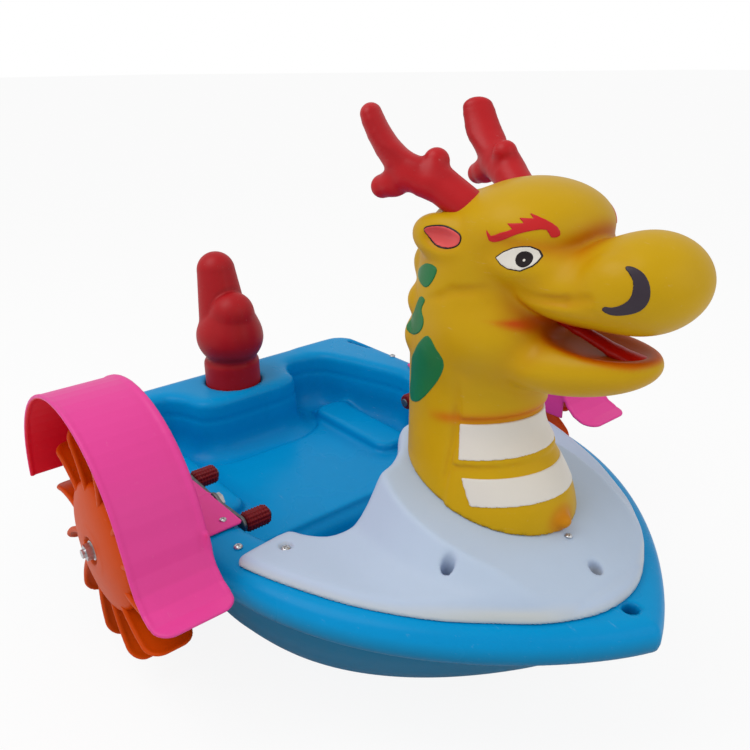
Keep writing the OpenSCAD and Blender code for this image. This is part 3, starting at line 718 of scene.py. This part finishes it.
side_patch("nostril", [(574, 807), (583, 808), (597, 802), (607, 789), (609, 772), (601, 758), (586, 750),
                       (569, 747), (558, 751), (561, 757), (570, 758), (581, 763), (590, 773), (591, 786),
                       (586, 797)], nostril_grey, (-98, -56), 0, 0.9, 1.5, 3)
side_patch("mane_scale_top", [(254, 754), (281, 758), (289, 751), (270, 725), (246, 722), (222, 733)],
           mane_green, (-120, -74), 1, 0.9, 1.7, 3)
side_patch("mane_scale_mid", [(245, 700), (262, 701), (254, 684), (263, 668), (252, 648), (220, 632),
                              (196, 638), (224, 670)], mane_green, (-120, -72), 1, 0.9, 1.7, 3)
side_patch("mane_scale_low", [(251, 629), (277, 648), (297, 632), (309, 618), (304, 598), (280, 564),
                              (240, 522), (205, 508), (197, 522), (204, 545), (214, 585), (230, 605)],
           mane_green, (-124, -62), 1, 0.9, 1.8, 3)
for band, line in (("upper", [(329, 516), (330, 500), (341, 462), (520, 462), (520, 516)]),
                   ("lower", [(352, 431), (377, 391), (520, 391), (520, 431)])):
    painted("belly_band_" + band, lambda x, y, z: flat_shape(x + 0 * z, neck_tilt(x, z), line) - 1 + 0 * y,
            (322, -116, line[2][1] - 14), (482, 116, line[0][1] + 24), 2.2, band_white, 1.8, False)


def tongue_form(x, y, z):
    """The tongue, wider than it is thick by the factor flat."""
    flat = 1.7
    line = [(425, 0, 693 * flat), (470, 0, 683 * flat), (530, 0, 667 * flat), (566, 0, 661 * flat)]
    return branch(x, y, z * flat, line, [11, 12, 14, 18], 6) * 0.8


solid("tongue", tongue_form, (405, -24, 640), (590, 24, 704), 2.4, tongue_red, crease=12, fixed=True)


# ------------ antlers
LIMB = [(262, 76, 868), (236, 86.5, 876), (214, 95, 886), (194, 102, 900), (177, 107.5, 918), (163, 112, 938),
        (153, 115, 956), (149, 116, 965)]
LIMB_X, LIMB_S = (Profile([(p[2], p[k]) for p in LIMB], 6) for k in (0, 1))


def antler_form(x, y, z):
    s = -y
    # The upright limb is flattened: broad along one slant, thin across it
    rise = np.clip((z - 882) / 46, 0, 1)
    over = ((x - LIMB_X(z)) * 0.64 + (s - LIMB_S(z)) * 0.77) * 0.36 * rise * rise * (3 - 2 * rise)
    form = branch(x - 0.64 * over, s - 0.77 * over, z, [(335, 49, 818)] + LIMB,
                  [27, 27.5, 26.5, 24.5, 22, 19.5, 18, 17, 16.2], 1)
    form = join(form, branch(x, s, z, [(252, 84, 876), (248, 75, 902)], [23, 19.5], 4), 8)
    low_tine = branch(x, s, z, [(222, 94, 884), (186, 102, 868), (164, 107, 860)], [22, 20, 18], 8)
    return join(form, low_tine, 10)


antler = solid("antler_right_moulding", antler_form, (108, -158, 780), (378, -12, 992), 3.2, horn_red,
               node="antler_right", crease=16)


# ------------ tail
def tail_form(x, y, z):
    u = x - TAIL_X
    foot = keep(np.hypot(u, y) - 69.5, z - 345, 20)
    form = join(foot, ellipsoid(u, y, z, (0, 0, 398), (86, 81, 74)), 10)
    form = join(form, rod(u, y, z, (10, 0, 404), (24, 0, 462), 69, 54), 24)
    form = join(form, rod(u, y, z, (-22, 0, 432), (-41, 0, 558), 62, 47), 5)
    return keep(form, 190.4 - z, 4)


solid("tail_moulding", tail_form, (-664, -90, 186), (-468, 90, 618), 4.0, tail_red, node="tail",
      crease=22)


def mirrored_copy(piece, name, material, body, node):
    """The port twin of a starboard piece."""
    twin = piece.copy()
    twin.data = piece.data.copy()
    twin.name = twin.data.name = name
    bpy.context.scene.collection.objects.link(twin)
    for key in [k for k in twin.keys() if k.startswith("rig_")]:
        del twin[key]
    twin.parent = None
    twin.matrix_world = Matrix.Identity(4)
    twin.data.transform(Matrix.Diagonal((1, -1, 1, 1)))
    twin.data.flip_normals()
    return finish(twin, material, body, node)


mirrored_copy(antler, "antler_left_moulding", horn_red, "boat", "antler_left")

# ------------ fenders
ARCH = (-92, 318)
ARCH_R = 226.5
FENDER_Y = 509
ARCH_LINE = ([(ARCH[0] + ARCH_R * math.cos(math.radians(a)), ARCH[1] + ARCH_R * math.sin(math.radians(a)))
              for a in range(180, 13, -6)]
             + [(133.5, 365), (141, 341), (154.5, 315.5), (174, 298), (199, 288.5), (226.5, 286.5)])
PLATE = [(36, 331), (30, 325), (-190, 325), (-330, 398), (-330, 450), (36, 450)]


def fender_form(x, y, z):
    s = -y
    sheet = to_line(x, z, ARCH_LINE) - 2.5
    end = np.hypot(np.maximum(x - 198, 0), np.maximum(np.abs(s - FENDER_Y) - 36, 0)) - 30
    form = keep(sheet, end, 3)
    rim = np.hypot(to_line(x, z, ARCH_LINE), np.abs(s - FENDER_Y) - 62.5) - 3.4
    form = join(form, keep(rim, x - 196, 6), 3)
    round_wall = np.hypot(x - ARCH[0], z - ARCH[1]) - 227
    square_wall = np.maximum(np.abs(x - 25) - 117, np.abs(z - 310) - 55)
    wall = keep(np.minimum(round_wall, square_wall), np.maximum(x - 148, -318 - x), 3)
    wall = keep(wall, np.abs(s - 445.5) - 2.5, 3)
    form = join(form, wall, 8)
    plate = keep(flat_shape(x, s, PLATE), np.abs(z - 283) - 2.6, 4)
    tunnel = (np.hypot(x - AXLE_X, z - 282) - np.clip((s - 350) * 0.5, 0, 47)) * 0.9
    tunnel = keep(tunnel, s - 446, 3)
    form = join(form, join(plate, tunnel, 8), 8)
    return keep(form, DECK_Z + 0.4 - z, 2)


def fender_underside_shade(p, n):
    """Painted shade: deep crimson where the sheet faces the wheel."""
    inward = -(n[:, 0] * (p[:, 0] - ARCH[0]) + n[:, 2] * (p[:, 2] - ARCH[1])) / 220
    wall = np.clip(-n[:, 1] - 0.2, 0, 1) * (np.abs(p[:, 1]) < 449) * (p[:, 2] > 290)
    return np.clip(inward * 2 - 0.3, 0, 1) + wall


fender = solid("fender_right_moulding", fender_form, (-332, -578, 277), (233, -320, 550), 2.8, fender_pink,
               node="fender_right", crease=14, tint=fender_underside_shade, fixed=True)
mirrored_copy(fender, "fender_left_moulding", fender_pink, "boat", "fender_left")


# ------------ repeats made with geometry nodes
SHAPES_IN, SHAPES_OUT = [("Geometry", "Geometry", None)], [("Geometry", "Geometry")]


def made_real(n, placed, material):
    real = n.add("GeometryNodeRealizeInstances", {"Geometry": placed}).outputs[0]
    return n.add("GeometryNodeSetMaterial", {"Geometry": real, "Material": material}).outputs[0]


def screws_tree():
    """One screw on each point, each turned by its own amount."""
    tree, n, given, out = new_tree("screws_on_spots", "GeometryNodeTree", SHAPES_IN + [
        ("Screw", "Object", None), ("Size", "Float", 1.0), ("Seed", "Int", 3),
        ("Finish", "Material", None)], SHAPES_OUT)
    shape = n.add("GeometryNodeObjectInfo", {"Object": given["Screw"]}).outputs["Geometry"]
    turn = n.add("FunctionNodeRandomValue", {"Max": 3.14, "Seed": given["Seed"]}, data_type="FLOAT")
    angle = next(s for s in turn.outputs if s.enabled)
    spin = n.add("ShaderNodeCombineXYZ", {"Z": angle}).outputs[0]
    placed = n.add("GeometryNodeInstanceOnPoints", {"Points": given["Geometry"], "Instance": shape,
                                                    "Rotation": spin, "Scale": given["Size"]}).outputs[0]
    n.put(out["Geometry"], made_real(n, placed, given["Finish"]))
    return tree


def blades_tree():
    """Blades set round the axle at even angles."""
    tree, n, given, out = new_tree("blades_round_axle", "GeometryNodeTree", SHAPES_IN + [
        ("Blade", "Object", None), ("Blades", "Int", 12), ("First Angle", "Float", 0.0),
        ("Finish", "Material", None)], SHAPES_OUT)
    shape = n.add("GeometryNodeObjectInfo", {"Object": given["Blade"]}).outputs["Geometry"]
    points = n.add("GeometryNodePoints", {"Count": given["Blades"]}).outputs[0]
    step = n.maths("DIVIDE", 2 * math.pi, given["Blades"])
    angle = n.maths("MULTIPLY_ADD", n.add("GeometryNodeInputIndex").outputs[0], step, given["First Angle"])
    spin = n.add("ShaderNodeCombineXYZ", {"Y": angle}).outputs[0]
    placed = n.add("GeometryNodeInstanceOnPoints", {"Points": points, "Instance": shape,
                                                    "Rotation": spin}).outputs[0]
    n.put(out["Geometry"], made_real(n, placed, given["Finish"]))
    return tree


def run_tree(name, tree, start, values):
    """Runs a geometry nodes tree on a mesh and returns the result as a plain mesh object."""
    holder = bpy.data.objects.new(name + "_start", start)
    bpy.context.scene.collection.objects.link(holder)
    modifier = holder.modifiers.new("repeat", "NODES")
    modifier.node_group = tree
    for item in tree.interface.items_tree:
        if item.item_type == "SOCKET" and item.in_out == "INPUT" and item.name in values:
            modifier[item.identifier] = values[item.name]
    bpy.context.view_layer.update()
    depsgraph = bpy.context.evaluated_depsgraph_get()
    mesh = bpy.data.meshes.new_from_object(holder.evaluated_get(depsgraph))
    holder.modifiers.clear()
    bpy.data.objects.remove(holder)
    mesh.name = name
    piece = bpy.data.objects.new(name, mesh)
    bpy.context.scene.collection.objects.link(piece)
    return piece


SCREWS_ON_SPOTS, BLADES_ROUND_AXLE = screws_tree(), blades_tree()


def screw_form(x, y, z):
    """A pan-head screw with a cross recess; its head stands on z = 0 and is 10 mm across."""
    form = keep(ellipsoid(x, y, z, (0, 0, 0), (5, 5, 3)), -0.6 - z, 0.5)
    near, far = np.minimum(np.abs(x), np.abs(y)), np.maximum(np.abs(x), np.abs(y))
    cross = np.maximum(near - 0.55, far - 2.8)
    return cut(form, np.maximum(cross, 1.3 - z), 0.5)


screw_points, screw_faces = skin_of(screw_form, (-6, -6, -1.6), (6, 6, 4), 0.42)
screw = mesh_of("screw_pattern", screw_points, screw_faces)


def screw_set(name, spots, size, node, seed):
    """Screws at spots, given as (x, y, z); size 1 is a 10 mm head."""
    start = bpy.data.meshes.new(name)
    start.from_pydata([tuple(c * MM for c in s) for s in spots], [], [])
    piece = run_tree(name, SCREWS_ON_SPOTS, start, {
        "Screw": screw, "Size": size, "Seed": seed, "Finish": steel})
    return finish(piece, steel, "boat", node)


RIVETS = [(91, 369), (91, -369), (-408, 414), (-408, -414)]
FENDER_SCREWS = [(10, 352), (10, 416), (-180, 372), (-305, 415)]
screw_set("cover_screw_heads", [(x, y, 292.2) for x, y in COVER_SCREWS], 1.8, "bow_cover_screws", 3)
screw_set("deck_rivet_heads", [(x, y, 280.3) for x, y in RIVETS], 1.6, "deck_rivets", 5)
screw_set("neck_screw_head", [(NECK_SCREW_X, 0, 344)], 1.2, "neck_screw", 7)
for side, sign in SIDES.items():
    screw_set(f"fender_screw_heads_{side}", [(x, sign * y, 285.8) for x, y in FENDER_SCREWS], 1.4,
              f"fender_screws_{side}", 11)
bpy.data.objects.remove(screw)


# ------------ paddle wheels
def blade_form(x, y, z):
    """One scoop blade, pointing forward from the axle; y runs outboard."""
    r = np.hypot(x, z)
    t = np.clip((r - 34) / 184, 0, 1.2)
    off = r * (np.arctan2(z, x) - math.radians(16) * t * t) * 0.9
    edge_r, edge_y = np.abs(r - 120) - 98 + 30, np.abs(y - 499.5) - 44.5 + 30
    corner = np.hypot(np.maximum(edge_r, 0), np.maximum(edge_y, 0))
    edge = corner + np.minimum(np.maximum(edge_r, edge_y), 0) - 30
    thick = 2.4 + 1.9 * np.exp(-((edge + 4) / 4.5) ** 2) + 1.6 * np.clip(1 - t, 0, 1)
    return keep(np.abs(off) - thick, edge, 4)


def wheel_hub_form(x, y, z):
    """Drum and outer dome round the axle; y runs outboard."""
    r = np.hypot(x, z)
    bulge = 529 + 28 * np.sqrt(np.clip(1 - (r / 124) ** 2.2, 0, 1))
    dome = keep(keep((y - bulge) * 0.85, 523 - y, 4), r - 120, 6)
    drum = keep(r - 38, np.abs(y - 500) - 46, 5)
    form = join(dome, drum, 14)
    return cut(cut(form, keep(r - 25, 550.5 - y, 2), 3), r - 8.1, 1)


def handed(points, faces, sign):
    """A skin made for port, or mirrored for starboard when sign is -1."""
    return points * (1, sign, 1), faces if sign > 0 else faces[:, ::-1]


blade_points, blade_faces = skin_of(blade_form, (16, 450, -14), (226, 549, 84), 3.4 * COARSE)
hub_points, hub_faces = skin_of(wheel_hub_form, (-148, 448, -148), (148, 562, 148), 3.6 * COARSE)
for side, sign in SIDES.items():
    body = f"paddle_{side}"
    turned = (1, 1, -1) if sign > 0 else (1, -1, 1)
    # Both wheels come from one mould, so the port one is the starboard one turned round
    faces = blade_faces[:, ::-1]
    pattern = mesh_of(f"blade_pattern_{side}", blade_points * turned, faces)
    blades = run_tree(f"paddle_blades_{side}", BLADES_ROUND_AXLE, bpy.data.meshes.new("empty"), {
        "Blade": pattern, "Blades": 12, "First Angle": math.radians(8 * sign), "Finish": paddle_orange})
    bpy.data.objects.remove(pattern)
    blades.data.transform(Matrix.Translation((AXLE_X * MM, 0, AXLE_Z * MM)))
    finish(blades, paddle_orange, body, f"paddle_wheel_{side}")
    points, faces = handed(hub_points, hub_faces, sign)
    hub = mesh_of(f"paddle_hub_{side}", points + (AXLE_X, 0, AXLE_Z), faces)
    finish(hub, paddle_orange, body, f"paddle_wheel_{side}")


# ------------ cranks and grips
CRANK_THROW = 98


def crank_form(x, y, z):
    """The double crank with a pin at each end, in place on the port side."""
    u, w = x - AXLE_X, z - AXLE_Z
    r = np.hypot(u, w)
    pin = np.hypot(np.abs(u) - CRANK_THROW, w)
    half_wide = 11 - 2 * np.cos(np.clip(np.abs(u) / CRANK_THROW, 0, 1) * math.pi)
    bar = np.hypot(np.maximum(np.abs(u) - CRANK_THROW, 0), w) - half_wide
    flat = join(join(bar, r - 18, 10), pin - 13, 8)
    form = keep(flat, np.abs(y - 315) - 4, 3)
    form = join(form, keep(pin - 6, np.abs(y - 287) - 28, 1), 2)
    form = join(form, keep(pin - 10, np.abs(y - 259.3) - 2.3, 2), 1)
    return cut(form, r - 8.1, 1)


def grip_form(x, y, z):
    """A knurled grip round the pin, at the origin; y runs outboard."""
    r = np.hypot(x, z)
    turn = np.arctan2(z, x)
    knurl = 0.7 * np.cos(14 * turn) + 0.9 * np.cos(2 * math.pi * (y - 262) / 6.2)
    body = keep(r - 18.2 - knurl, np.abs(y - 286.3) - 24.2, 5)
    return cut(body, r - 6.3, 1)


grip_points, grip_faces = skin_of(grip_form, (-22, 258, -22), (22, 314, 22), 1.25 * COARSE)
crank_points, crank_faces = skin_of(crank_form, (-206, 254, 240), (30, 322, 284), 1.8 * COARSE)
# Painted shade in the grooves of the knurl
grip_slope = slope_of(grip_form, grip_points, 0.5)
grip_out = grip_slope / np.linalg.norm(grip_slope, axis=1)[:, None]
grip_fold_shade = np.clip(1 - grip_form(*(grip_points + 2.5 * grip_out).T) / 2.5, 0, 1)
for side, sign in SIDES.items():
    crank = mesh_of(f"crank_forging_{side}", *handed(crank_points, crank_faces, sign))
    finish(crank, crank_metal, f"paddle_{side}", f"crank_arm_{side}")
    for end, offset in (("front", CRANK_THROW), ("rear", -CRANK_THROW)):
        points, faces = handed(grip_points, grip_faces, sign)
        points = points + (AXLE_X + offset, 0, AXLE_Z)
        grip = mesh_of(f"grip_{end}_{side}_moulding", points, faces, crease=grip_fold_shade)
        finish(grip, grip_red, f"{end}_grip_{side}", f"grip_{end}_{side}")

# ------------ turned and bought-in parts keep their shape
PAIRED = {"bearing": nylon, "axle": steel, "hub_washer": steel, "hub_nut": steel, "thrust_washer": nylon,
          "crank_nut": steel}
KEPT = {f"{part}_{side}": material for part, material in PAIRED.items() for side in SIDES}
KEPT.update(drain_plug=black_rubber, drain_plug_seal=black_rubber)
for part, material in KEPT.items():
    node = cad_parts[part]
    node.data.materials.clear()
    node.data.materials.append(material)


# ------------ floor and light
FLOOR, FLOOR_Z = 60000, -0.5


def set_stage():
    corners = [(x * FLOOR, y * FLOOR, FLOOR_Z) for x, y in ((-1, -1), (1, -1), (1, 1), (-1, 1))]
    floor = mesh_of("floor", np.array(corners, float), np.array([[0, 1, 2, 3]]))
    material, n, shader = new_material("pale_floor")
    out = next(node for node in n.tree.nodes if node.type == "OUTPUT_MATERIAL")
    shader.inputs["Base Color"].default_value = (0.88, 0.88, 0.88, 1)
    shader.inputs["Roughness"].default_value = 0.9
    shader.inputs["Specular IOR Level"].default_value = 0.1
    glow = n.add("ShaderNodeEmission", {"Color": (1, 1, 1, 1), "Strength": 1.0})
    light_path = n.add("ShaderNodeLightPath")
    share = n.maths("MULTIPLY", light_path.outputs["Is Camera Ray"], 0.9)
    mixed = n.add("ShaderNodeMixShader", {0: share, 1: shader.outputs[0], 2: glow.outputs[0]})
    n.put(out.inputs["Surface"], mixed.outputs[0])
    floor.data.materials.append(material)
    world = bpy.data.worlds.new("studio")
    bpy.context.scene.world = world
    world.use_nodes = True
    w = Nodes(world.node_tree)
    background = world.node_tree.nodes["Background"]
    path = w.add("ShaderNodeLightPath")
    seen = w.maths("MAXIMUM", path.outputs["Is Camera Ray"], path.outputs["Is Transmission Ray"])
    background.inputs["Color"].default_value = (1, 1, 1, 1)
    w.put(background.inputs["Strength"], w.maths("ADD", w.maths("MULTIPLY", seen, 0.35), 0.65))
    for name, place, aim, size, power in (("key_lamp", (-0.6, -1.6, 3.2), (0, 0, 0.3), 2.2, 42),
                                          ("fill_lamp", (3.0, 0.6, 2.0), (0.2, 0, 0.4), 2.5, 14)):
        data = bpy.data.lights.new(name, "AREA")
        data.size, data.energy = size, power
        lamp = bpy.data.objects.new(name, data)
        bpy.context.scene.collection.objects.link(lamp)
        lamp.location = place
        lamp.rotation_mode = "QUATERNION"
        lamp.rotation_quaternion = (Vector(aim) - Vector(place)).to_track_quat("-Z", "Y")
    bpy.context.scene.view_settings.view_transform = "Standard"


set_stage()
